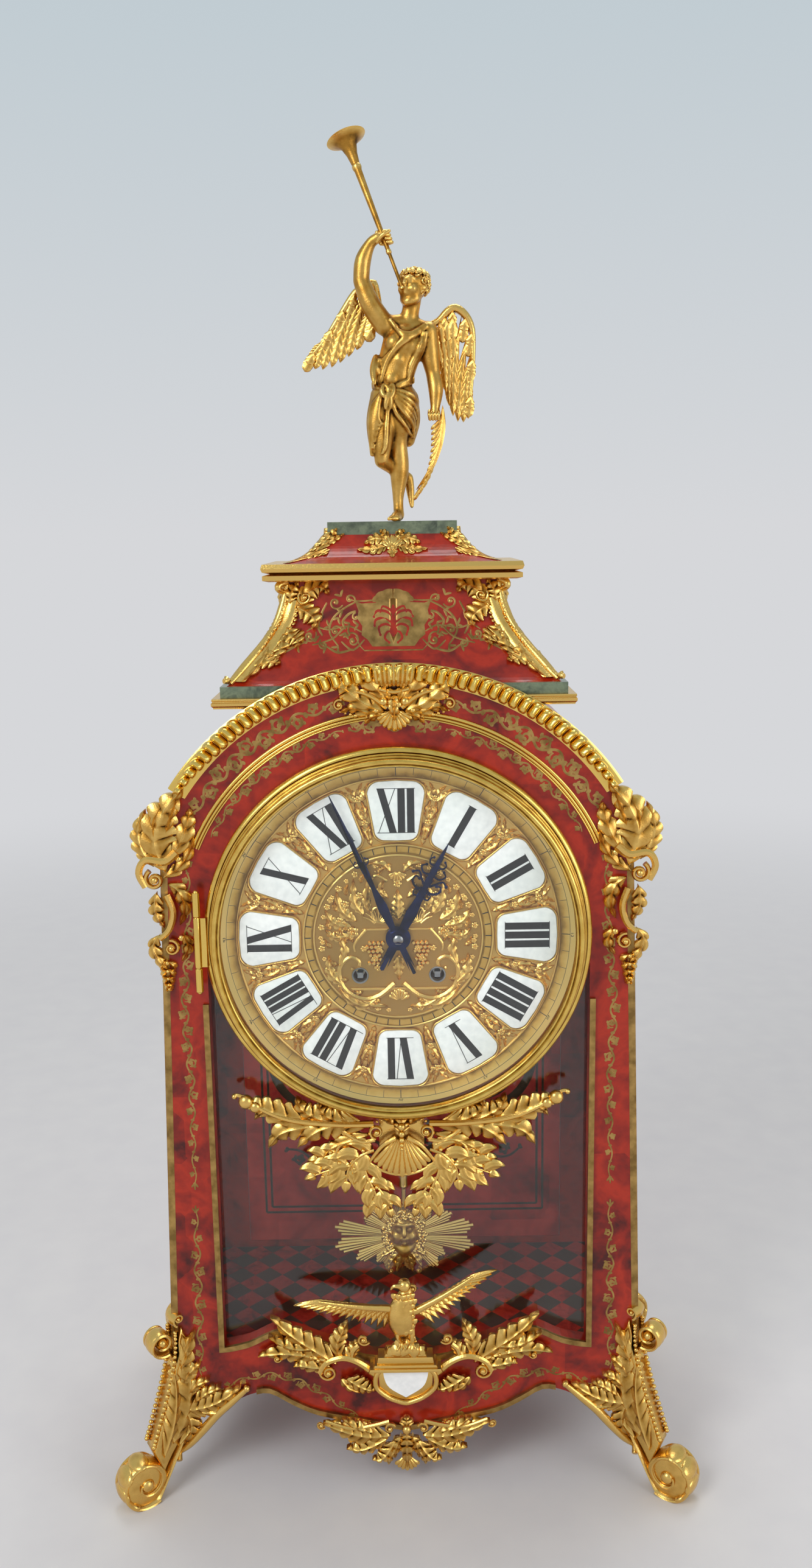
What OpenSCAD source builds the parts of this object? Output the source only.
// Mantel clock with a boulle case: a flared wooden case with an arched head on four scroll feet, a large round
// dial over a glazed pendulum window, gilt bronze mounts, and a stepped hood that carries a winged figure.
// Millimetres. The origin is on the floor under the middle of the case, +X is to the right, the front faces -Y
// and +Z is up.

/* [Dial and bezel] */
// Radius of the bezel's outer edge
bezel_r = 133.5; // [130:0.5:138]
// Height of the bezel ring above the front of the case
bezel_h = 22; // [20:0.5:24]
// Width of the bezel ring from its outer edge to the glass
bezel_w = 12.5; // [11:0.5:14]
// Thickness of the domed bezel glass
bezel_glass_t = 2; // [1.5:0.1:2.5]
// Rise of the dome of the bezel glass
glass_rise = 6; // [4:0.5:8]
// Thickness of the dial plate
dial_t = 2; // [1.5:0.1:2.5]
// Thickness of the enamel hour plaques
plaque_t = 2.2; // [1.6:0.1:2.6]
// Outer radius of the ring of hour plaques
plaque_ring_r = 110; // [106:0.5:112]
// Length of an hour plaque along the radius
plaque_l = 43; // [38:0.5:45]
// Radius of the embossed disc in the middle of the dial
centre_disc_r = 57; // [52:0.5:60]
// Length of the minute hand from the arbor to its tip
minute_l = 110; // [100:0.5:112]
// Length of the hour hand from the arbor to its tip
hour_l = 74; // [66:0.5:80]
// Thickness of the hands
hand_t = 1.2; // [0.8:0.1:1.4]

/* [Case] */
// Width of each front stile beside the window
stile_w = 30; // [28:0.5:34]
// Sideways flare of each side for one unit of height
flare = 0.027; // [0.02:0.001:0.034]
// Depth of the case from the front face to the back face
case_d = 172; // [166:1:182]
// Height of the underside of the case sides above the floor
case_z = 72; // [70:0.5:76]
// Height of the top of the case floor above the underside of the sides
floor_up = 28; // [26:0.5:32]
// Thickness of the case floor
floor_t = 10; // [8:0.5:12]
// Height of the window from the case floor to the lower edge of the bezel
window_h = 196.5; // [190:0.5:204]
// Height of the shoulders above the middle of the arch
shoulder_up = 80; // [74:0.5:84]
// Height of the middle of the arch above the middle of the dial
arch_up = 4; // [2:0.5:6]
// Thickness of the front panels
front_t = 10; // [8:0.5:12]
// Thickness of the side panels
side_t = 13; // [11:0.5:15]
// Thickness of the bent roof
roof_t = 8; // [6:0.5:10]
// Thickness of the back frame and of the back door
back_t = 8; // [7:0.5:10]
// Thickness of the window panes
pane_t = 2; // [1.5:0.1:2.5]
// Width of the frame round each side window
side_rail = 32; // [28:1:38]

/* [Feet] */
// Radius of the big scroll of a foot
foot_scroll_r = 20; // [18:0.5:22]
// Width of a foot's leg
foot_w = 20; // [17:0.5:22]
// How far the scroll's middle stands out from the corner of the case
foot_out = 27; // [24:0.5:30]
// Thickness of the leaf wings of a foot
foot_leaf_t = 5; // [4:0.5:7]

/* [Mounts] */
// Radial width of the gadrooned arch moulding
gadroon_w = 12.5; // [10:0.5:14]
// Height of the gadrooned moulding above the front face
gadroon_h = 10; // [8:0.5:13]
// Number of lobes on the gadrooned moulding
gadroon_lobes = 54; // [44:1:64]
// How far the thin arch moulding lies outside the bezel
thin_arch_out = 16.5; // [14:0.5:19]
// Width of the thin brass mouldings
thin_w = 4.5; // [3.5:0.5:5.5]
// Height of the thin brass mouldings above the front face
thin_h = 2.5; // [1.5:0.5:3.5]
// Relief of the bronze mounts above what they are screwed to
relief = 7; // [5:0.5:8]

/* [Hood] */
// Half width of the green plinth of the hood
plinth_hw = 117; // [112:0.5:120]
// Thickness of the green plinth
plinth_t = 8; // [6:0.5:10]
// How far the top of the arch stands up into the hood above the plinth's underside
arch_in_hood = 19; // [16:0.5:22]
// How far the hood's plinth lies behind the front face of the case
hood_set_back = 6; // [4:0.5:9]
// Height of the waisted part of the hood
waist_h = 68; // [62:0.5:74]
// Half width of the waisted part at its foot
waist_foot_hw = 113; // [108:0.5:115]
// Half width of the waisted part at its top
waist_top_hw = 73; // [68:0.5:76]
// Half width of the cornice
cornice_hw = 90; // [84:0.5:94]
// Thickness of the cornice
cornice_t = 12; // [10:0.5:14]
// Height of the coved cap over the cornice
cap_h = 19; // [16:0.5:22]
// Half width of the cap at its foot
cap_foot_hw = 76; // [72:0.5:80]
// Half width of the green platform under the figure
platform_hw = 46; // [42:0.5:50]
// Depth of the green platform
platform_d = 18; // [16:0.5:24]
// Thickness of the green platform
platform_t = 9; // [7:0.5:11]

/* [Movement] */
// Radius of the two round plates of the movement
plate_r = 66; // [65:0.5:70]
// Thickness of the movement plates
plate_t = 3; // [2:0.5:4]
// Clear distance between the movement plates
plate_gap = 43; // [43:0.5:48]
// Radius of the train arbors
arbor_r = 1; // [0.8:0.05:1.05]
// Radius of the two winding arbors
winding_r = 3; // [2.6:0.1:3.4]
// Running clearance of every arbor and hinge pin in its hole
run = 0.05; // [0.02:0.01:0.08]
// Thickness of the train wheels
wheel_t = 1.5; // [1.2:0.1:1.8]
// Height of the middle of the pendulum bob above the case floor
bob_up = 54; // [50:0.5:60]
// Radius of the disc of the pendulum bob
bob_r = 24; // [21:0.5:26]
// Radius of the sun rays round the bob
ray_r = 57; // [52:0.5:60]
// Radius of the bell
bell_r = 36; // [32:0.5:40]

/* [Figure] */
// Height of the winged figure without its trumpet, from its sole to the crown of its head
figure_h = 172; // [164:1:178]
// Radius of the head
head_r = 10.5; // [9.5:0.1:11.5]
// Thickness of the wings
wing_t = 4; // [3:0.5:5]
// Length of the trumpet
trumpet_l = 112; // [104:1:114]

/* [Hidden] */
$fn = 48;

gilt = [0.80, 0.62, 0.25];
red_shell = [0.56, 0.14, 0.09];
green_stain = [0.33, 0.38, 0.31];
dark_wood = [0.30, 0.20, 0.14];
enamel = [0.95, 0.95, 0.94];
pane_tint = [0.80, 0.86, 0.88, 0.35];
blue_steel = [0.10, 0.14, 0.28];
brass_tone = [0.78, 0.65, 0.35];
steel_tone = [0.62, 0.63, 0.65];

// Gap left between pieces that move past each other
gap = 0.3;
// Play left round a pane or a panel in its frame
fit = 0.2;

// Levels above the floor
floor_z = case_z + floor_up;
dial_z = floor_z + window_h + bezel_r;
arch_z = dial_z + arch_up;
shoulder_z = arch_z + shoulder_up;
half_dial = bezel_r + stile_w;
thin_arch_r = bezel_r + thin_arch_out;
half_shoulder = half_dial - flare * (shoulder_z - dial_z);
arch_r = sqrt(half_shoulder * half_shoulder + shoulder_up * shoulder_up);
arch_top = arch_z + arch_r;
window_hw = bezel_r - 0.5;
sill_z = floor_z + 6;
plinth_z = arch_top - arch_in_hood;
waist_z = plinth_z + plinth_t;
cornice_z = waist_z + waist_h;
cap_z = cornice_z + cornice_t;
platform_z = cap_z + cap_h;
figure_z = platform_z + platform_t;

// Depths, counted towards the viewer from the middle of the case
face = case_d / 2;
front_back = face - front_t;
back_face = -case_d / 2;
back_inner = back_face + back_t;
dial_face = face + dial_t;
plaque_face = dial_face + plaque_t;
hour_h = plaque_face + 2.6;
minute_h = hour_h + hand_t + 1.6;
hinge_h = face + bezel_h / 2;
front_plate_h = face - 14 - plate_t;
back_plate_h = front_plate_h - plate_gap - plate_t;
swing_h = back_plate_h - 24;
bell_h = swing_h - 14;

// Outer half width of the case at a height
function side_x(z) = half_dial + flare * (dial_z - z);
// Inner half width of the case at a height
function inner_x(z) = side_x(z) - side_t;
// Point on a circle
function polar(r, a) = [r * cos(a), r * sin(a)];
// Points of an arc from one angle to another
function arc(c, r, a0, a1, n) = [for (i = [0:n]) c + polar(r, a0 + (a1 - a0) * i / n)];
// Same points in the opposite order, and with left and right changed over as well
function backwards(p) = [for (i = [len(p) - 1:-1:0]) p[i]];
function flip(p) = [for (q = backwards(p)) [-q[0], q[1]]];
// Outline that is its own mirror image, from the points of its right half
function both(p) = concat(p, flip(p));
// Smooth closed curve through the points
function smooth(p, n = 3) = [
    for (i = [0:len(p) - 1]) for (j = [0:n - 1])
        let (k = len(p), t = j / n, a = p[(i + k - 1) % k], b = p[i], c = p[(i + 1) % k], d = p[(i + 2) % k])
            0.5 * (2 * b + (c - a) * t + (2 * a - 5 * b + 4 * c - d) * t * t
                + (3 * b - a - 3 * c + d) * t * t * t)
];
// Smooth open curve through the points
function smooth_open(p, n = 4) = [
    for (i = [0:len(p) - 2]) for (j = [0:(i == len(p) - 2 ? n : n - 1)])
        let (t = j / n, a = p[max(i - 1, 0)], b = p[i], c = p[i + 1], d = p[min(i + 2, len(p) - 1)])
            0.5 * (2 * b + (c - a) * t + (2 * a - 5 * b + 4 * c - d) * t * t
                + (3 * b - a - 3 * c + d) * t * t * t)
];
// Leaf outline from its root to its tip, w wide
function leaf(a, b, w, n = 6) =
    let (d = b - a, s = [-d[1], d[0]] / norm(d))
        concat([for (i = [0:n]) a + d * i / n + s * w / 2 * sin(180 * pow(i / n, 0.75))],
            [for (i = [n - 1:-1:1]) a + d * i / n - s * w / 2 * sin(180 * pow(i / n, 0.75))]);

// Turns a drawing of the front view so that it stands up, with its thickness towards the viewer
module upright() {
    rotate([90, 0, 0]) children();
}
// Front-view outline with thickness, from depth h0 to depth h1 towards the viewer
module slab(h0, h1) {
    upright() translate([0, 0, h0]) linear_extrude(h1 - h0) children();
}
// Upright turned body round a point of the front view
module turned(c) {
    upright() translate([c[0], c[1], 0]) rotate_extrude($fn = 96) children();
}
// Round bar towards the viewer round a point of the front view
module bar(c, r, h0, h1) {
    upright() translate([c[0], c[1], h0]) cylinder(r = r, h = h1 - h0);
}
// Copies on the left and on the right
module pair() {
    children();
    mirror([1, 0, 0]) children();
}
// Outline of the case seen from the front, made smaller by t all round except along the bottom at z0
module case_outline(z0, t) {
    r = arch_r - t;
    corner = acos(half_shoulder / arch_r);
    side = [side_x(z0) - t, z0];
    polygon(both(concat([side], arc([0, arch_z], r, corner, 90, 16))));
}
// Upper part of a disc, above height z0
module disc_above(c, r, z0) {
    intersection() {
        translate(c) circle(r, $fn = 96);
        translate([-r, z0]) square([2 * r, c[1] + r - z0]);
    }
}

// Case panels: sides, roof, floor and back
module side_panel() {
    win_z0 = sill_z + 30;
    win_z1 = dial_z - 30;
    win_hd = face - front_t - side_rail;
    difference() {
        slab(back_inner, front_back)
            polygon([
                [side_x(case_z), case_z], [side_x(shoulder_z), shoulder_z],
                [inner_x(shoulder_z), shoulder_z], [inner_x(case_z), case_z]
            ]);
        translate([inner_x(win_z1) - 5, -win_hd, win_z0]) cube([side_t + 20, 2 * win_hd, win_z1 - win_z0]);
    }
}
module case_side_left() {
    color(red_shell) mirror([1, 0, 0]) side_panel();
}
module case_side_right() {
    color(red_shell) side_panel();
}
module side_panes() {
    z0 = sill_z + 30;
    z1 = dial_z - 30;
    hd = face - front_t - side_rail;
    color(pane_tint) pair() slab(-hd, hd)
        polygon([[inner_x(z0), z0], [inner_x(z0) + pane_t, z0], [inner_x(z1) + pane_t, z1], [inner_x(z1), z1]]);
}
module case_roof() {
    a = acos(half_shoulder / arch_r);
    color(red_shell) slab(back_inner, front_back)
        polygon(concat(
            [[inner_x(shoulder_z), shoulder_z]],
            arc([0, arch_z], arch_r, a, 180 - a, 40),
            [[-inner_x(shoulder_z), shoulder_z]],
            arc([0, arch_z], arch_r - roof_t, 180 - a - 4, a + 4, 36)));
}
module case_floor() {
    z0 = floor_z - floor_t;
    color(dark_wood) slab(back_inner, front_back)
        polygon(both([[inner_x(z0), z0], [inner_x(floor_z), floor_z]]));
}
// Opening of the back, which the back door fills but for the play
module back_opening(play) {
    r = window_hw - play;
    translate([-r, sill_z + play]) square([2 * r, dial_z - sill_z - play]);
    disc_above([0, dial_z], r, dial_z - 1);
}
back_knuckle_r = 2.6;
back_hinge_l = 36;
back_hinge_x = window_hw + back_knuckle_r + 0.6;
back_hinge_h = back_face - back_knuckle_r - 0.4;
back_hinge_zs = [sill_z + 40, dial_z - 40];
module back_knuckle(z0, z1, side) {
    x = back_hinge_x;
    translate([x, -back_hinge_h, z0]) cylinder(r = back_knuckle_r, h = z1 - z0);
    translate([x + min(8 * side, 0), -back_face + 1, z0]) cube([8, 2.4, z1 - z0]);
    translate([x + (side < 0 ? -8 : 2), -back_face, z0]) cube([side < 0 ? 3.5 : 6, 3, z1 - z0]);
}
module back_frame() {
    color(red_shell) slab(back_face, back_inner) difference() {
        case_outline(case_z, 0);
        back_opening(0);
    }
    color(gilt) for (z = back_hinge_zs) {
        back_knuckle(z, z + back_hinge_l / 3, 1);
        back_knuckle(z + 2 * back_hinge_l / 3, z + back_hinge_l, 1);
        translate([back_hinge_x, -back_hinge_h, z]) cylinder(r = pin_r, h = back_hinge_l);
    }
}

// Front panels
module front_arch_head() {
    color(red_shell) slab(front_back, face) difference() {
        intersection() {
            case_outline(case_z, 0);
            translate([-half_dial, shoulder_z - 7]) square([2 * half_dial, arch_r]);
        }
        translate([0, dial_z]) circle(bezel_r - bezel_w, $fn = 96);
        ring_seat(fit);
    }
}
// Disc that the dial ring takes up in the front
module ring_seat(play) {
    translate([0, dial_z]) circle(bezel_r - 2 + play, $fn = 96);
}
module front_stiles() {
    color(red_shell) pair() slab(front_back, face) difference() {
        polygon([
            [side_x(case_z), case_z], [side_x(shoulder_z - 7), shoulder_z - 7],
            [window_hw - 20, shoulder_z - 7], [window_hw - 20, dial_z], [window_hw, dial_z],
            [window_hw, case_z]
        ]);
        ring_seat(fit);
    }
}
// Lower edge of the skirt, right half
skirt = [for (p = [[0, -27], [0.12, -24], [0.256, -20], [0.49, -13], [0.632, -4], [0.76, 6], [0.865, 4],
    [0.932, 0]]) [p[0] * window_hw, p[1]]];
module front_sill() {
    low = [for (p = smooth_open(skirt, 3)) p + [0, case_z]];
    humps = smooth_open(sill_edge, 4);
    color(red_shell) slab(front_back, face)
        polygon(both(concat(low, [[window_hw, case_z]], [for (p = humps) p + [0, sill_z]])));
}
// Ring behind the bezel that closes the front round the dial, with a tongue that carries the apron mount
module dial_ring() {
    z = dial_z - bezel_r;
    color(brass_tone) slab(front_back, face) difference() {
        union() {
            ring_seat(0);
            translate([-16, z - 36]) square([32, 50]);
        }
        translate([0, dial_z]) circle(bezel_r - bezel_w - 6, $fn = 96);
    }
}
module window_pane() {
    color(pane_tint) slab(front_back - pane_t, front_back) difference() {
        translate([-inner_x(dial_z), floor_z]) square([2 * inner_x(dial_z), dial_z - 10 - floor_z]);
        translate([0, dial_z]) circle(bezel_r - bezel_w - 4, $fn = 96);
    }
}

// Brass mouldings of the front
// Upper edge of the sill, right half, from the stile to the middle
sill_edge = [for (p = [[1, 10], [0.865, 14], [0.677, 24], [0.466, 14], [0.226, 2], [0, 0]])
    [p[0] * window_hw, p[1]]];
border_w = 4;
module window_border() {
    top = dial_z - bezel_r * 0.36;
    edge = [for (p = smooth_open(sill_edge, 4)) p + [0, sill_z]];
    outer = concat([[window_hw + border_w, top], [window_hw + border_w, edge[0][1] - border_w]],
        [for (p = edge) if (p[0] < window_hw - 1) p - [0, border_w]]);
    inner = concat([[window_hw, top]], edge);
    low = [for (p = smooth_open(skirt, 3)) if (p[0] < window_hw * 0.84) p + [0, case_z]];
    color(gilt) slab(face, face + thin_h) {
        polygon(concat([for (p = outer) [-p[0], p[1]]], backwards(outer), inner,
            [for (p = backwards(inner)) [-p[0], p[1]]]));
    }
    color(gilt) slab(face, face + thin_h)
        polygon(concat([for (p = backwards(low)) [-p[0], p[1]]], low, [for (p = backwards(low)) p + [0, border_w]],
            [for (p = low) [-p[0], p[1] + border_w]]));
}
module gadroon_arch() {
    a = 37.5;
    r = arch_r + 4.5;
    sweep = 180 - 2 * a;
    steps = gadroon_lobes * 4;
    color(gilt) slab(face, face + gadroon_h)
        polygon(concat(
            [for (i = [0:steps]) [0, arch_z] + polar(r + 0.9 * abs(sin(45 * i)), a + sweep * i / steps)],
            arc([0, arch_z], r - gadroon_w, 180 - a, a, 60)));
}
module thin_arch_moulding() {
    a0 = 29;
    a1 = 90 - asin((cartouche_hw + 1) / thin_arch_r);
    color(gilt) pair() slab(face, face + thin_h)
        polygon(concat(
            arc([0, arch_z], thin_arch_r + thin_w / 2, a0, a1, 30),
            arc([0, arch_z], thin_arch_r - thin_w / 2, a1, a0, 30)));
}
// Leaf cartouche that hangs from the top of the arch, right half
cartouche_hw = 41;
cartouche = [
    [0, 10], [14, 4], [30, 1], [cartouche_hw, -6], [38, -13], [27, -14], [32, -24], [20, -26], [12, -34],
    [0, -35]
];
module arch_cartouche() {
    r = arch_r + 4.5 - gadroon_w - gap;
    color(gilt) {
        slab(face, face + relief) intersection() {
            translate([0, arch_z + r]) polygon(both(smooth_open(cartouche, 3)));
            translate([0, arch_z]) circle(r, $fn = 96);
        }
        pair() bar([7, arch_z + r - 24], 3.5, face + relief / 2, face + relief + 3);
    }
}
// Acanthus mount at a shoulder of the case, right-hand side, from the edge of the case
shoulder = [
    [-23, 57], [-10, 52], [5, 45], [12, 28], [15, 12], [13, 2], [7, -12], [0, -30], [-1, -40], [6, -52],
    [5, -64], [-3, -72], [-3, -88], [-7, -72], [-13, -63], [-18, -54], [-19, -46], [-15, -36],
    [-14, -24], [-22, -10], [-26, 8], [-26, 26], [-26, 43]
];
module shoulder_mounts() {
    z = dial_z + 50;
    color(gilt) pair() {
        slab(face, face + relief)
            translate([side_x(z), z]) polygon(smooth(shoulder));
        bar([side_x(z) - 3, z - 7], 8, face + relief / 2, face + relief + 2);
        bar([side_x(z) - 6, z - 57], 6, face + relief / 2, face + relief + 1.5);
    }
}

// Feet: a scrolled leg set across each corner, with a leaf wing on each face that shows
foot_turn = 35;
// Depth of the flat that a foot stands on, below its scroll
foot_flat = 0.5;
module foot_leg() {
    z = case_z;
    s = foot_scroll_r;
    o = foot_out;
    translate([side_x(z), -face, 0]) rotate([0, 0, -foot_turn]) rotate([90, 0, 0])
        linear_extrude(foot_w, center = true) intersection() {
            union() {
                polygon(concat(
                    smooth_open([[-3, z + 61], [-1, z + 40], [5, z + 16], [12, z - 8], [o - 5, s * 2 - 1]], 4),
                    [[o, s]],
                    smooth_open([[o - 3, 0], [o - 16, 6], [o - 28, z - 46], [-14, z - 14], [-24, z]], 4),
                    [[-24, z + 61]]));
                translate([o, s - foot_flat]) circle(s, $fn = 64);
            }
            translate([-60, 0]) square([160, 200]);
        }
}
// Leaf wing in front view, from the corner of the case, right-hand side
foot_wing = [
    [-1, 61], [-10, 48], [-22, 59], [-20, 40], [-24, 31], [-34, 26], [-38, 16], [-50, 12], [-55, 4],
    [-42, -2], [-32, -12], [-22, -27], [-13, -42], [-2, -56], [2, -40], [2, 0], [0, 40]
];
module foot(front_wing) {
    x = side_x(case_z);
    difference() {
        union() {
            foot_leg();
            if (front_wing)
                slab(face, face + foot_leaf_t) translate([x, case_z]) polygon(smooth(foot_wing, 2));
            translate([x - 12, -face, 0]) rotate([0, 0, 90]) rotate([90, 0, 0])
                linear_extrude(foot_leaf_t + 12) translate([0, case_z]) polygon(smooth(flip(foot_wing), 2));
        }
        slab(back_face, face)
            polygon(both([[side_x(case_z), case_z], [side_x(case_z + 90), case_z + 90]]));
    }
}
module feet() {
    color(gilt) pair() {
        foot(true);
        mirror([0, 1, 0]) foot(false);
    }
}

// Mounts under the dial and on the sill
apron = [
    [0, -6], [12, -5], [18, -4], [28, -9], [42, -6], [56, 8], [61, -4], [73, 15], [80, 1], [96, 8],
    [116, 20], [119, 14], [104, -1], [94, -23], [84, -14], [72, -27], [60, -21], [50, -28],
    [64, -44], [46, -41], [30, -48], [20, -62], [12, -78], [0, -86]
];
module apron_mount() {
    z = dial_z - bezel_r;
    color(gilt) {
        slab(face, face + relief) translate([0, z]) polygon(both(smooth_open(apron, 3)));
        pair() bar([18, z - 10], 6, face + relief / 2, face + relief + 3);
        bar([0, z - 28], 14, face + relief / 2, face + relief + 4);
    }
}
sill_scrolls = [
    [0, 13], [15, 12], [22, 16], [26, 25], [34, 22], [38, 14], [43, 31], [52, 14], [66, 16], [98, 38],
    [92, 16], [110, 6], [88, -2], [72, -8], [64, -16], [56, -18], [46, -14], [34, -8], [26, -12],
    [22, -24], [12, -26], [6, -33], [0, -33]
];
module sill_mount() {
    h0 = face + thin_h;
    color(gilt) {
        slab(h0, h0 + relief) translate([0, sill_z]) polygon(both(smooth_open(sill_scrolls, 3)));
        pair() bar([56, sill_z - 8], 8, h0 + relief / 2, h0 + relief + 2);
        translate([-13, -h0 - relief - 6, sill_z + 2]) cube([26, relief, 11]);
    }
}
module name_plaque() {
    h0 = face + thin_h + relief;
    color(enamel) slab(h0, h0 + 1.2) translate([0, sill_z])
        polygon(both(smooth_open([[16.5, 0], [16, -10], [12, -19], [0, -27]], 4)));
}
module eagle() {
    h = face + thin_h + relief + 1;
    color(gilt) translate([0, -h, sill_z + 13]) {
        cylinder(r1 = 8, r2 = 5, h = 16);
        translate([0, 0, 14]) cylinder(r1 = 5, r2 = 10, h = 18);
        translate([0, 0, 31.9]) cylinder(r1 = 10, r2 = 4.5, h = 14);
        translate([2, 0, 49]) sphere(6);
        translate([2, 0, 49]) rotate([0, 105, 0]) cylinder(r1 = 4, r2 = 0.8, h = 10);
        slab(-3, 1) polygon(smooth([[-4, 41], [-30, 46], [-70, 37], [-66, 31], [-40, 27], [-8, 27]]));
        slab(-3, 1) polygon(smooth([[4, 41], [22, 43], [40, 53], [56, 62], [50, 47], [30, 30], [8, 27]]));
    }
}
skirt_leaf = [
    [0, 14], [12, 8], [22, 10], [36, 14], [52, 12], [68, 14], [60, 2], [46, -2], [34, -6], [24, -4],
    [22, -14], [12, -20], [0, -32]
];
module skirt_mount() {
    h0 = face + thin_h;
    color(gilt) slab(h0, h0 + relief)
        translate([0, case_z - 27]) polygon(both(smooth_open(skirt_leaf, 3)));
}

// Hood: each block is its front outline crossed with its side outline
// Half depth of the hood where its half width is w: it narrows steadily from the plinth to the platform
function hood_depth(w) = platform_d / 2
    + (w - platform_hw) * (face - hood_set_back - platform_d / 2) / (plinth_hw - platform_hw);
module crossed(profile, grow = 0) {
    front = [for (p = profile) p + [grow, 0]];
    side = [for (p = profile) [hood_depth(p[0]) + grow, p[1]]];
    intersection() {
        slab(-200, 200) polygon(both(front));
        rotate([0, 0, 90]) slab(-200, 200) polygon(both(side));
    }
}
module above_arch() {
    difference() {
        children();
        upright() translate([0, arch_z, -face]) cylinder(r = arch_r, h = case_d, $fn = 96);
    }
}
module hood_plinth() {
    color(green_stain) above_arch() crossed([[plinth_hw, plinth_z], [plinth_hw, waist_z]]);
    color(gilt) above_arch() difference() {
        crossed([[plinth_hw + 4, plinth_z - 6], [plinth_hw + 5, plinth_z - 3], [plinth_hw + 3, plinth_z]]);
        crossed([[plinth_hw - 12, plinth_z - 9], [plinth_hw - 12, plinth_z + 1]]);
    }
}
// Waist outline of the hood: share of the spread at each share of the height
waist_curve = [[1, 0], [0.9, 0.04], [0.66, 0.2], [0.38, 0.4], [0.17, 0.6], [0.05, 0.8], [0, 1]];
waist_profile = [
    for (p = smooth_open(waist_curve, 3))
        [waist_top_hw + (waist_foot_hw - waist_top_hw) * p[0], waist_z + waist_h * p[1]]
];
module hood_waist() {
    color(red_shell) above_arch() crossed(waist_profile);
}
module hood_cornice() {
    w = cornice_hw;
    z = cornice_z;
    t = cornice_t;
    color(gilt) crossed([
        [w - 5, z], [w - 1, z + 1], [w - 1, z + t * 0.35], [w - 6, z + t * 0.45], [w - 1, z + t * 0.55],
        [w, z + t * 0.75], [w - 1, z + t]
    ]);
}
module hood_cap() {
    w = cap_foot_hw;
    n = platform_hw + 1;
    color(red_shell) crossed([
        for (p = smooth_open([[1, 0], [0.56, 0.2], [0.26, 0.5], [0.1, 0.78], [0, 1]], 3))
            [n + (w - n) * p[0], cap_z + cap_h * p[1]]
    ]);
}
module hood_scroll_mounts() {
    strip = 10;
    color(gilt) difference() {
        crossed(waist_profile, 4);
        crossed(waist_profile);
        slab(-200, 200) polygon(both([for (p = waist_profile) [p[0] - strip, p[1]]]));
        rotate([0, 0, 90])
            slab(-200, 200) polygon(both([for (p = waist_profile) [hood_depth(p[0]) - strip, p[1]]]));
        slab(-200, 200) translate([-200, 0]) square([400, waist_z + 1]);
    }
}
module figure_platform() {
    color(green_stain) crossed([[platform_hw, platform_z], [platform_hw, figure_z]]);
}

// Figure: a draped winged youth who blows a trumpet, drawn for a height of 172 from sole to crown
module on_platform() {
    translate([0, 0, figure_z]) scale(figure_h / 172) children();
}
module limb(a, ra, b, rb) {
    hull() {
        translate(a) sphere(ra, $fn = 16);
        translate(b) sphere(rb, $fn = 16);
    }
}
head_at = [21, 0, 160];
module figure() {
    color(gilt) on_platform() {
        limb([4, -2, 3], 3, [13, -9, 2.4], 2.2);
        limb([5, 0, 5], 3, [7, 0, 30], 5);
        limb([7, 0, 30], 5, [6, -1, 52], 4.6);
        limb([6, -1, 52], 6, [10, 0, 78], 8.5);
        limb([17, 6, 32], 3, [17, 8, 12], 2.2);
        limb([17, 6, 32], 3.6, [-3, -5, 42], 5);
        limb([-3, -5, 42], 5.4, [3, 0, 76], 8.5);
        limb([-8, 2, 56], 4, [-2, 0, 84], 8);
        limb([22, 3, 62], 4, [18, 0, 84], 8);
        limb([0, 0, 86], 8, [14, 0, 86], 8.5);
        limb([7, 0, 88], 9, [11, 0, 104], 8);
        limb([11, 0, 104], 8, [13, 0, 120], 9);
        limb([3, 0, 128], 6, [25, 0, 124], 6);
        limb([14, 0, 128], 7, [18, 0, 146], 4.6);
        translate(head_at) sphere(head_r, $fn = 24);
        limb([1, 0, 130], 5.4, [-15, -1, 164], 4);
        limb([-15, -1, 164], 4, [1, 5.6, 186], 2.6);
        limb([26, 0, 122], 5.2, [34, -1, 95], 3.8);
        limb([34, -1, 95], 3.6, [34, -3, 75], 2.8);
    }
}
left_wing = [
    [4, 150], [-8, 159], [-24, 151], [-34, 134], [-46, 118], [-56, 106], [-44, 104], [-36, 100],
    [-28, 104], [-18, 112], [-8, 122], [4, 132]
];
right_wing = [
    [14, 140], [30, 146], [46, 147], [58, 134], [60, 112], [57, 90], [53, 66], [46, 76], [40, 94],
    [34, 110], [20, 122]
];
module figure_wings() {
    color(gilt) on_platform() slab(-10.4 - wing_t, -10.4) union() {
        polygon(smooth(left_wing));
        polygon(smooth(right_wing));
        translate([0, 124]) square([24, 22]);
    }
    color(gilt) on_platform() bar([14, 130], 3, -11, -7.1);
}
module trumpet() {
    tilt = -20;
    color(gilt) on_platform() translate([head_at[0] - head_r - 0.5, -2, head_at[2] - 5]) rotate([0, tilt, 0]) {
        cylinder(r1 = 1.4, r2 = 3, h = trumpet_l - 26);
        translate([0, 0, trumpet_l - 26]) cylinder(r1 = 3, r2 = 6.5, h = 18);
        translate([0, 0, trumpet_l - 8]) cylinder(r1 = 6.5, r2 = 14, h = 8);
    }
}
module palm_branch() {
    stem = [[43, 86], [42, 70], [37, 48], [29, 30], [19, 20]];
    color(gilt) on_platform() slab(6.1, 8.1) union() {
        polygon(smooth([[45, 86], [44, 68], [38, 46], [30, 28], [18, 18], [26, 32], [33, 50], [38, 70], [41, 86]]));
        for (i = [1:6]) {
            a = stem[0] + (stem[4] - stem[0]) * i / 8 + [4 * sin(180 * i / 8), -3];
            polygon(leaf(a, a + [-13 + i * 0.7, -7], 5));
        }
    }
}

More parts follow.
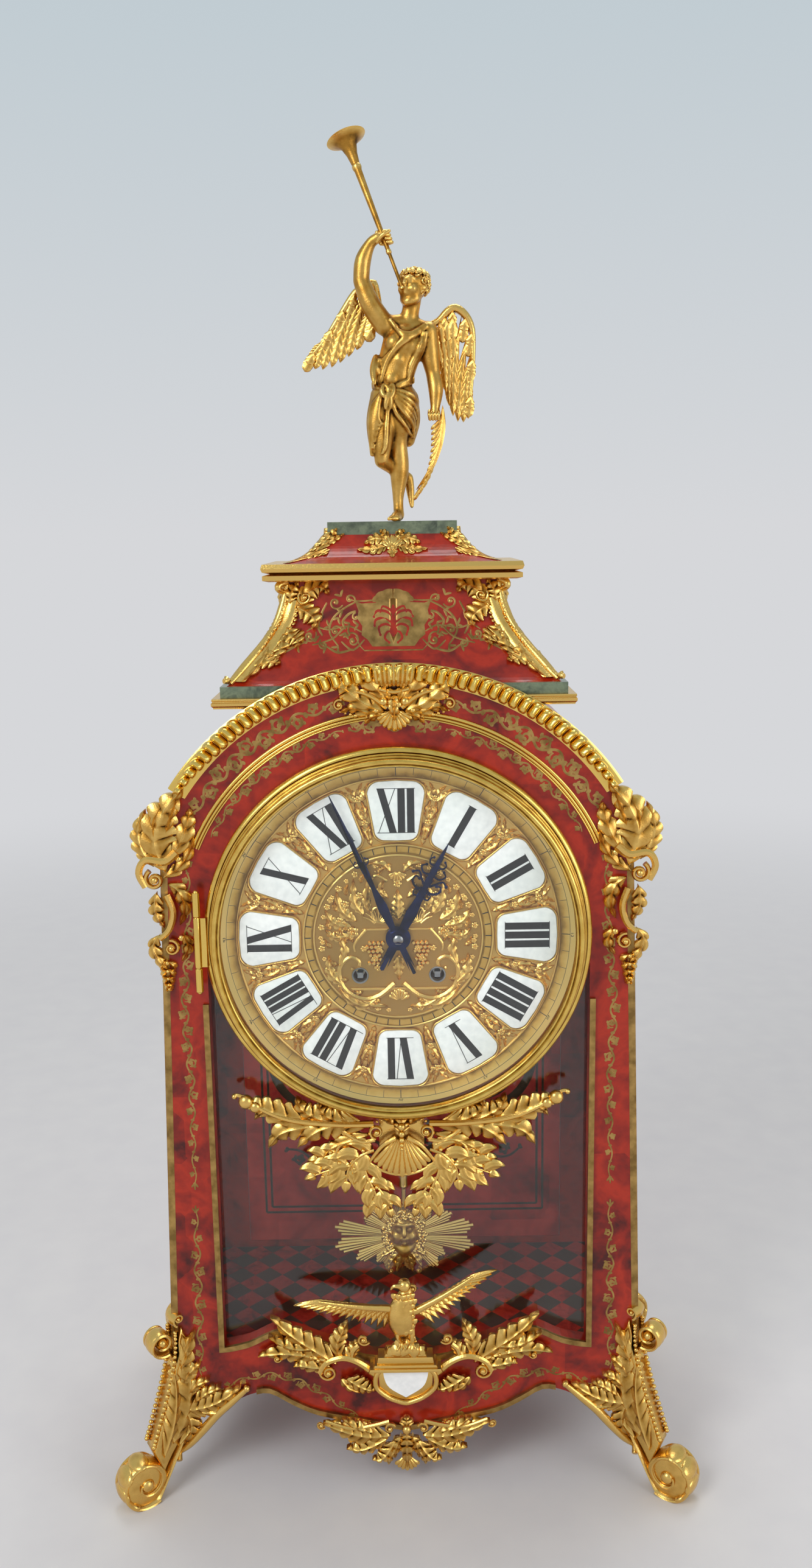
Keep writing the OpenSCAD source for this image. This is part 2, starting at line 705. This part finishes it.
// Dial
dial_hole = 6;
winding_at = [26.7, -27.5];
winding_hole_r = winding_r + 1.6;
module dial_holes() {
    translate([0, dial_z]) circle(dial_hole);
    for (s = [-1, 1]) translate([s * winding_at[0], dial_z + winding_at[1]]) circle(winding_hole_r);
}
module dial_plate() {
    color(gilt) slab(face, dial_face) difference() {
        translate([0, dial_z]) circle(bezel_r - bezel_w + 1, $fn = 96);
        dial_holes();
    }
}
module hour_plaques() {
    r0 = plaque_ring_r - plaque_l;
    half = 13.6;
    color(enamel) for (i = [1:12])
        upright() translate([0, dial_z, dial_face]) rotate([0, 0, -30 * i]) linear_extrude(plaque_t)
            polygon(concat(
                arc([0, 0], plaque_ring_r, 90 - half, 90 + half, 8),
                [polar(r0 + 6, 90 + half), polar(r0, 90 + half * 0.7)],
                [polar(r0, 90 - half * 0.7), polar(r0 + 6, 90 - half)]));
}
module dial_centre() {
    color(gilt) slab(dial_face, plaque_face) difference() {
        translate([0, dial_z]) circle(centre_disc_r, $fn = 96);
        dial_holes();
    }
}

// Bezel door with its glass and hinge
hinge_x = -(bezel_r + 3.5);
hinge_half = 35.5;
knuckle_half = 18;
knuckle_r = 2.6;
pin_r = 1.2;
module bezel() {
    r = bezel_r;
    w = bezel_w;
    b = face + gap;
    t = face + bezel_h;
    color(gilt) difference() {
        union() {
            turned([0, dial_z]) polygon([
                [r - 2, b], [r, b + 3], [r, b + 7], [r - 3, t - 7], [r - 4, t - 2], [r - 6, t], [r - 8, t],
                [r - 9, t - 2], [r - w + 1, t - 3], [r - w, t - 4], [r - w, t - 6], [r - w + 2.2, t - 6],
                [r - w + 2.2, b]
            ]);
            slab(hinge_h - 2, hinge_h + 2)
                translate([hinge_x, dial_z - knuckle_half]) square([5.5, 2 * knuckle_half]);
            translate([hinge_x, -hinge_h, dial_z - knuckle_half]) cylinder(r = knuckle_r, h = 2 * knuckle_half);
        }
        translate([hinge_x, -hinge_h, dial_z - 40]) cylinder(r = pin_r + run, h = 80);
    }
}
module bezel_hinge() {
    color(gilt) difference() {
        union() {
            for (s = [-1, 1]) {
                z0 = dial_z + (s < 0 ? -hinge_half : knuckle_half + gap);
                l = hinge_half - knuckle_half - gap;
                translate([hinge_x, -hinge_h, z0]) cylinder(r = knuckle_r, h = l);
                slab(face, hinge_h) translate([hinge_x - 1.5, z0]) square([3, l]);
            }
            translate([hinge_x, -hinge_h, dial_z - hinge_half]) cylinder(r = pin_r, h = 2 * hinge_half);
        }
    }
}
module bezel_glass() {
    r = bezel_r - bezel_w - fit;
    rim = face + bezel_h - 6;
    seat_r = bezel_r - bezel_w + 2;
    dome = [for (i = [0:8]) [r * i / 8, rim + glass_rise * cos(90 * i / 8)]];
    color(pane_tint) turned([0, dial_z]) polygon(concat(
        dome,
        [[r, rim - gap], [seat_r, rim - gap], [seat_r, rim - gap - bezel_glass_t]],
        [for (p = backwards(dome)) [p[0] * (1 - bezel_glass_t / r), p[1] - bezel_glass_t - gap]]));
}

// Back door with its half of the hinge
module back_door() {
    color(red_shell) slab(back_face, back_inner) back_opening(2 * fit);
    color(gilt) difference() {
        for (z = back_hinge_zs)
            back_knuckle(z + back_hinge_l / 3 + gap, z + 2 * back_hinge_l / 3 - gap, -1);
        translate([back_hinge_x, -back_hinge_h, 0]) cylinder(r = pin_r + run, h = arch_top);
    }
    color(gilt) bar([-window_hw + 16, dial_z - 60], 5, back_face - 3, back_face + 1);
}

// Wheel train, laid out in the front view from the middle of the dial. Each mesh is [module, wheel teeth,
// pinion leaves], and its centre distance follows from them.
barrel_mesh = [0.6, 84, 14];
second_mesh = [0.5, 72, 12];
centre_mesh = [0.4, 80, 8];
third_mesh = [0.35, 84, 8];
pin_mesh = [0.5, 72, 8];
fly_mesh = [0.4, 70, 7];
cannon_mesh = [0.75, 48, 16];
hour_mesh = [0.8, 48, 12];
escape_teeth = 30;
escape_r = 8.5;
function reach(m) = m[0] * (m[1] + m[2]) / 2;
// Point at distance ra from a and rb from b, on the left of the line from a to b
function third_corner(a, b, ra, rb) =
    let (d = norm(b - a), u = (b - a) / d, t = (d * d + ra * ra - rb * rb) / (2 * d))
        a + u * t + [-u[1], u[0]] * sqrt(ra * ra - t * t);
function toward(a, b) = atan2(b[1] - a[1], b[0] - a[0]);
centre_at = [0, 0];
barrel_at = winding_at;
second_at = third_corner(centre_at, barrel_at, reach(second_mesh), reach(barrel_mesh));
third_at = [0, reach(centre_mesh)];
escape_at = third_at + [0, reach(third_mesh)];
anchor_at = escape_at + [0, escape_r + 2.8];
minute_at = [0, reach(cannon_mesh)];
strike_barrel_at = [-barrel_at[0], barrel_at[1]];
strike_second_at = [-second_at[0], second_at[1]];
pin_at = strike_second_at + polar(reach(pin_mesh), 120);
fly_at = pin_at + polar(reach(fly_mesh), 60);
hammer_at = [-48, 2];
pillars = [for (a = [-90, 20, 68, 112, 160]) polar(plate_r - 6, a)];

function from_dial(p) = [p[0], p[1] + dial_z];
// Toothed wheel: m is the module, n the teeth, a the direction of its mate, with a tooth or a gap facing it
module teeth(m, n, a, tooth_faces) {
    p = 360 / n;
    r = m * n / 2;
    ends = [[r - 1.15 * m, 0.27], [r + 0.65 * m, 0.11]];
    polygon([
        for (i = [0:n - 1]) let (c = a + p * (i + (tooth_faces ? 0 : 0.5)))
            each [
                polar(ends[0][0], c - p * ends[0][1]), polar(ends[1][0], c - p * ends[1][1]),
                polar(ends[1][0], c + p * ends[1][1]), polar(ends[0][0], c + p * ends[0][1])
            ]
    ]);
}
// Wheel of a mesh, as thick as t, with its back at depth h
module wheel(at, mesh, mate, h, t, bore = 0) {
    slab(h, h + t) translate(from_dial(at)) difference() {
        teeth(mesh[0], mesh[1], toward(at, mate), true);
        if (bore > 0) circle(bore);
    }
}
// Pinion of a mesh
module pinion(at, mesh, mate, h, t, bore = 0) {
    slab(h, h + t) translate(from_dial(at)) difference() {
        teeth(mesh[0], mesh[2], toward(at, mate), false);
        if (bore > 0) circle(bore);
    }
}
module arbor(at, h0, h1) {
    bar(from_dial(at), arbor_r, h0, h1);
}
// Depths of the wheels between the plates
back_in = back_plate_h + plate_t;
front_out = front_plate_h + plate_t;
barrel_wheel_h = back_in + 15;
barrel_front_h = front_plate_h - 3;
second_h = back_in + 8;
strike_second_h = second_h + 4.6;
centre_h = back_in + 3;
third_h = back_in + 20;
escape_h = back_in + 29;

module plate_holes() {
    for (at = [centre_at, second_at, third_at, escape_at, anchor_at, strike_second_at, pin_at, fly_at,
            hammer_at])
        translate(from_dial(at)) circle(arbor_r + run);
    for (at = [barrel_at, strike_barrel_at]) translate(from_dial(at)) circle(winding_r + run);
}
module movement_front_plate() {
    color(brass_tone) {
        slab(front_plate_h, front_out) difference() {
            translate([0, dial_z]) circle(plate_r, $fn = 96);
            plate_holes();
        }
        for (p = pillars) bar(from_dial(p), 3, back_in, front_plate_h + 0.1);
        bar(from_dial(minute_at), arbor_r, front_plate_h + 0.5, face - 1);
    }
}
cock_l = 5;
module movement_back_plate() {
    a = from_dial(anchor_at);
    color(brass_tone) {
        slab(back_plate_h, back_in) difference() {
            translate([0, dial_z]) circle(plate_r, $fn = 96);
            plate_holes();
        }
        slab(swing_h - cock_l, back_plate_h + 1) translate(a + [-5, 6]) square([10, 5]);
        for (s = [-1, 1]) slab(swing_h + s * (cock_l - 1) - 1, swing_h + s * (cock_l - 1) + 1)
            translate(a + [-4, -3]) square([8, 10]);
        bar(a, 1, swing_h - cock_l, swing_h + cock_l);
    }
}
module movement_rails() {
    inner = plate_r - 14;
    outer = bezel_r - bezel_w + 5;
    color(brass_tone) pair() slab(front_out, front_back)
        translate([inner, dial_z + 34]) square([outer - inner - 12, 10]);
    color(brass_tone) pair() slab(front_out, front_back)
        translate([inner + 4, dial_z - 6]) square([outer - inner - 4, 10]);
}
module barrel(at, mate) {
    color(brass_tone) difference() {
        union() {
            wheel(at, barrel_mesh, mate, barrel_wheel_h, 3);
            bar(from_dial(at), 23, barrel_wheel_h + 2.9, barrel_front_h);
        }
        bar(from_dial(at), winding_r + run, barrel_wheel_h - 1, barrel_front_h + 1);
    }
}
module winding_arbor(at) {
    color(steel_tone) {
        bar(from_dial(at), winding_r, back_plate_h, face - 4);
        slab(face - 4.1, plaque_face - 0.5) translate(from_dial(at))
            square(winding_r * 1.3, center = true);
        slab(back_in + 1, back_in + 3) translate(from_dial(at)) circle(winding_r + 3);
    }
}
module going_barrel() {
    barrel(barrel_at, second_at);
}
module strike_barrel() {
    barrel(strike_barrel_at, strike_second_at);
}
module going_arbor() {
    winding_arbor(barrel_at);
}
module strike_arbor() {
    winding_arbor(strike_barrel_at);
}
module second_wheel(at, mesh, mate, source, h) {
    color(brass_tone) {
        arbor(at, back_plate_h, front_out);
        pinion(at, barrel_mesh, source, barrel_wheel_h - 2, 7);
        wheel(at, mesh, mate, h, wheel_t);
    }
}
module going_second_wheel() {
    second_wheel(second_at, second_mesh, centre_at, barrel_at, second_h);
}
module strike_second_wheel() {
    second_wheel(strike_second_at, pin_mesh, pin_at, strike_barrel_at, strike_second_h);
}
module centre_wheel() {
    color(brass_tone) {
        arbor(centre_at, back_plate_h, minute_h - 3);
        pinion(centre_at, second_mesh, second_at, second_h - 2, 6);
        wheel(centre_at, centre_mesh, third_at, centre_h, wheel_t);
    }
}
module third_wheel() {
    color(brass_tone) {
        arbor(third_at, back_plate_h, front_out);
        pinion(third_at, centre_mesh, centre_at, centre_h - 1.5, 5);
        wheel(third_at, third_mesh, escape_at, third_h, wheel_t);
    }
}
module escape_wheel() {
    color(brass_tone) {
        arbor(escape_at, back_plate_h, front_out);
        pinion(escape_at, third_mesh, third_at, third_h - 2, 6);
        slab(escape_h, escape_h + wheel_t) translate(from_dial(escape_at))
            polygon([
                for (i = [0:escape_teeth - 1]) let (c = 360 * i / escape_teeth)
                    each [polar(escape_r - 1.4, c), polar(escape_r, c + 7), polar(escape_r - 1.4, c + 7.5)]
            ]);
    }
}
crutch_l = 40;
rod_r = 1.6;
module anchor() {
    color(steel_tone) {
        arbor(anchor_at, back_plate_h - 5, front_out);
        slab(escape_h - 0.5, escape_h + wheel_t + 0.5) translate(from_dial(anchor_at)) polygon(both([
            [0, 3], [3, 2], [9, -2], [9.6, -6], [8.4, -6], [7.6, -2.5], [2, 0.2], [0, 0]
        ]));
        slab(back_plate_h - 5, back_plate_h - 2.5)
            translate(from_dial(anchor_at) + [-2, -crutch_l]) square([4, crutch_l]);
        pair() slab(swing_h + 3, back_plate_h - 4) translate(from_dial(anchor_at) + [0.6, -crutch_l])
            square([1.4, 2]);
        pair() slab(swing_h - 2, swing_h + 3.5) translate(from_dial(anchor_at) + [rod_r + gap, -crutch_l])
            square([1.2, 2]);
        slab(swing_h + 2.5, swing_h + 3.8) translate(from_dial(anchor_at) + [-rod_r - 1.5, -crutch_l])
            square([2 * rod_r + 3, 2]);
    }
}
module pin_wheel() {
    color(brass_tone) {
        arbor(pin_at, back_plate_h, front_out);
        pinion(pin_at, pin_mesh, strike_second_at, strike_second_h - 2, 5);
        wheel(pin_at, fly_mesh, fly_at, third_h, wheel_t);
        for (i = [0:7]) bar(from_dial(pin_at + polar(10, 45 * i)), 0.6, third_h + wheel_t - 0.1, third_h + 4);
    }
}
module fly() {
    color(brass_tone) {
        arbor(fly_at, back_plate_h, front_out);
        pinion(fly_at, fly_mesh, pin_at, third_h - 2, 5);
        slab(escape_h - 4, front_plate_h - 3) translate(from_dial(fly_at)) square([16, 1], center = true);
    }
}
bell_at = [0, -20];
bell_t = 2;
stand_at = [50, -30];
module bell() {
    at = from_dial(bell_at);
    foot = bell_h - bell_r;
    hole = 3.5;
    color(steel_tone) turned(at)
        polygon(concat(
            arc([0, bell_h], bell_r, 0, hole - 90, 10),
            arc([0, bell_h], bell_r - bell_t, hole - 90, 0, 10)));
    color(brass_tone) {
        bar(at, 1.8, foot - 4, foot + bell_t + 2);
        bar(at, 4, foot - 4, foot);
        bar(from_dial(stand_at), 4, foot - 4, back_plate_h);
        slab(foot - 4, foot - 1) translate(at) rotate(toward(bell_at, stand_at))
            translate([0, -3]) square([norm(stand_at - bell_at), 6]);
    }
}
hammer_head_at = bell_at + [-bell_r - 4.2, 0];
module hammer() {
    tail_to = hammer_at + [5.4, 5.4];
    color(steel_tone) {
        arbor(hammer_at, bell_h - 1, front_out);
        slab(bell_h - 1, bell_h + 1.5) translate(from_dial(hammer_at))
            rotate(toward(hammer_at, hammer_head_at))
            translate([0, -1.2]) square([norm(hammer_head_at - hammer_at), 2.4]);
        bar(from_dial(hammer_head_at), 3.5, bell_h - 3, bell_h + 3);
        slab(third_h + 2, third_h + 4) translate(from_dial(hammer_at))
            rotate(toward(hammer_at, tail_to)) translate([0, -1]) square([norm(tail_to - hammer_at), 2]);
    }
}
module pendulum() {
    at = from_dial(anchor_at);
    bob = [0, floor_z + bob_up];
    color(gilt) difference() {
        union() {
            bar(at, 3, swing_h - 2.5, swing_h + 2.5);
            translate([0, -swing_h, bob[1]]) cylinder(r = rod_r, h = at[1] - bob[1] - 2);
            bar(bob, bob_r, swing_h - 4, swing_h + 4);
            bar(bob, bob_r * 0.7, swing_h, swing_h + 7);
            slab(swing_h - 1, swing_h + 1.5) translate(bob) polygon([
                for (i = [0:31]) let (a = 360 * i / 32, r = i % 2 == 0 ? 1 : 0.72)
                    [ray_r * r * cos(a), ray_r * 0.56 * (i % 2 == 0 ? 1 : 0.8) * sin(a)]
            ]);
        }
        bar(at, 1 + run, swing_h - 3, swing_h + 3);
    }
}

// Hands and motion work
module minute_wheel() {
    color(brass_tone) {
        wheel(minute_at, cannon_mesh, centre_at, front_out + 3, wheel_t, arbor_r + run);
        pinion(minute_at, hour_mesh, centre_at, front_out + 3 + wheel_t, 6, arbor_r + run);
    }
}
pipe_r = arbor_r + 1.6;
hour_pipe_r = pipe_r + 1.6;
minute_angle = 24;
hour_angle = -28;
minute_blade = [[1.2, -27], [2.2, -12], [1.6, 0], [2.4, 20], [1.7, 52], [4.6, 60], [1.6, 68], [0.5, 110]];
hour_blade = [[1.4, -27], [2.6, -14], [1.8, 0], [2.6, 14], [2, 38], [7.5, 47], [2, 56], [0.7, 74]];
module hand(blade, l, a) {
    rotate(a) union() {
        polygon(both([for (p = blade) [p[0], p[1] > 0 ? p[1] * l / blade[len(blade) - 1][1] : p[1]]]));
        circle(6);
    }
}
module minute_hand() {
    color(blue_steel) {
        slab(minute_h, minute_h + hand_t) translate([0, dial_z]) difference() {
            hand(minute_blade, minute_l, minute_angle);
            circle(arbor_r + run);
        }
        slab(front_out + 1, minute_h + 0.1) translate([0, dial_z]) difference() {
            circle(pipe_r);
            circle(arbor_r + run);
        }
        pinion(centre_at, cannon_mesh, minute_at, front_out + 2, wheel_t + 2, arbor_r + run);
        slab(minute_h + hand_t - 0.1, minute_h + hand_t + 2.5) translate([0, dial_z]) difference() {
            circle(3.4);
            circle(arbor_r + run);
        }
    }
}
module hour_hand() {
    wheel_h = front_out + 3 + wheel_t + 2;
    color(blue_steel) slab(hour_h, hour_h + hand_t) translate([0, dial_z]) difference() {
        hand(hour_blade, hour_l, hour_angle);
        circle(pipe_r + run);
    }
    color(brass_tone) {
        slab(wheel_h, hour_h) translate([0, dial_z]) difference() {
            circle(hour_pipe_r);
            circle(pipe_r + run);
        }
        wheel(centre_at, hour_mesh, minute_at, wheel_h, wheel_t, hour_pipe_r - 0.1);
    }
}

case_side_left();
case_side_right();
side_panes();
case_roof();
case_floor();
back_frame();
front_arch_head();
front_stiles();
front_sill();
dial_ring();
window_border();
window_pane();
gadroon_arch();
thin_arch_moulding();
arch_cartouche();
shoulder_mounts();
feet();
apron_mount();
sill_mount();
name_plaque();
eagle();
skirt_mount();
hood_plinth();
hood_waist();
hood_cornice();
hood_cap();
hood_scroll_mounts();
figure_platform();
figure();
figure_wings();
trumpet();
palm_branch();
dial_plate();
hour_plaques();
dial_centre();
movement_front_plate();
movement_back_plate();
movement_rails();
bell();
bezel();
bezel_glass();
bezel_hinge();
back_door();
minute_hand();
hour_hand();
minute_wheel();
going_barrel();
going_arbor();
going_second_wheel();
centre_wheel();
third_wheel();
escape_wheel();
anchor();
pendulum();
strike_barrel();
strike_arbor();
strike_second_wheel();
pin_wheel();
fly();
hammer();
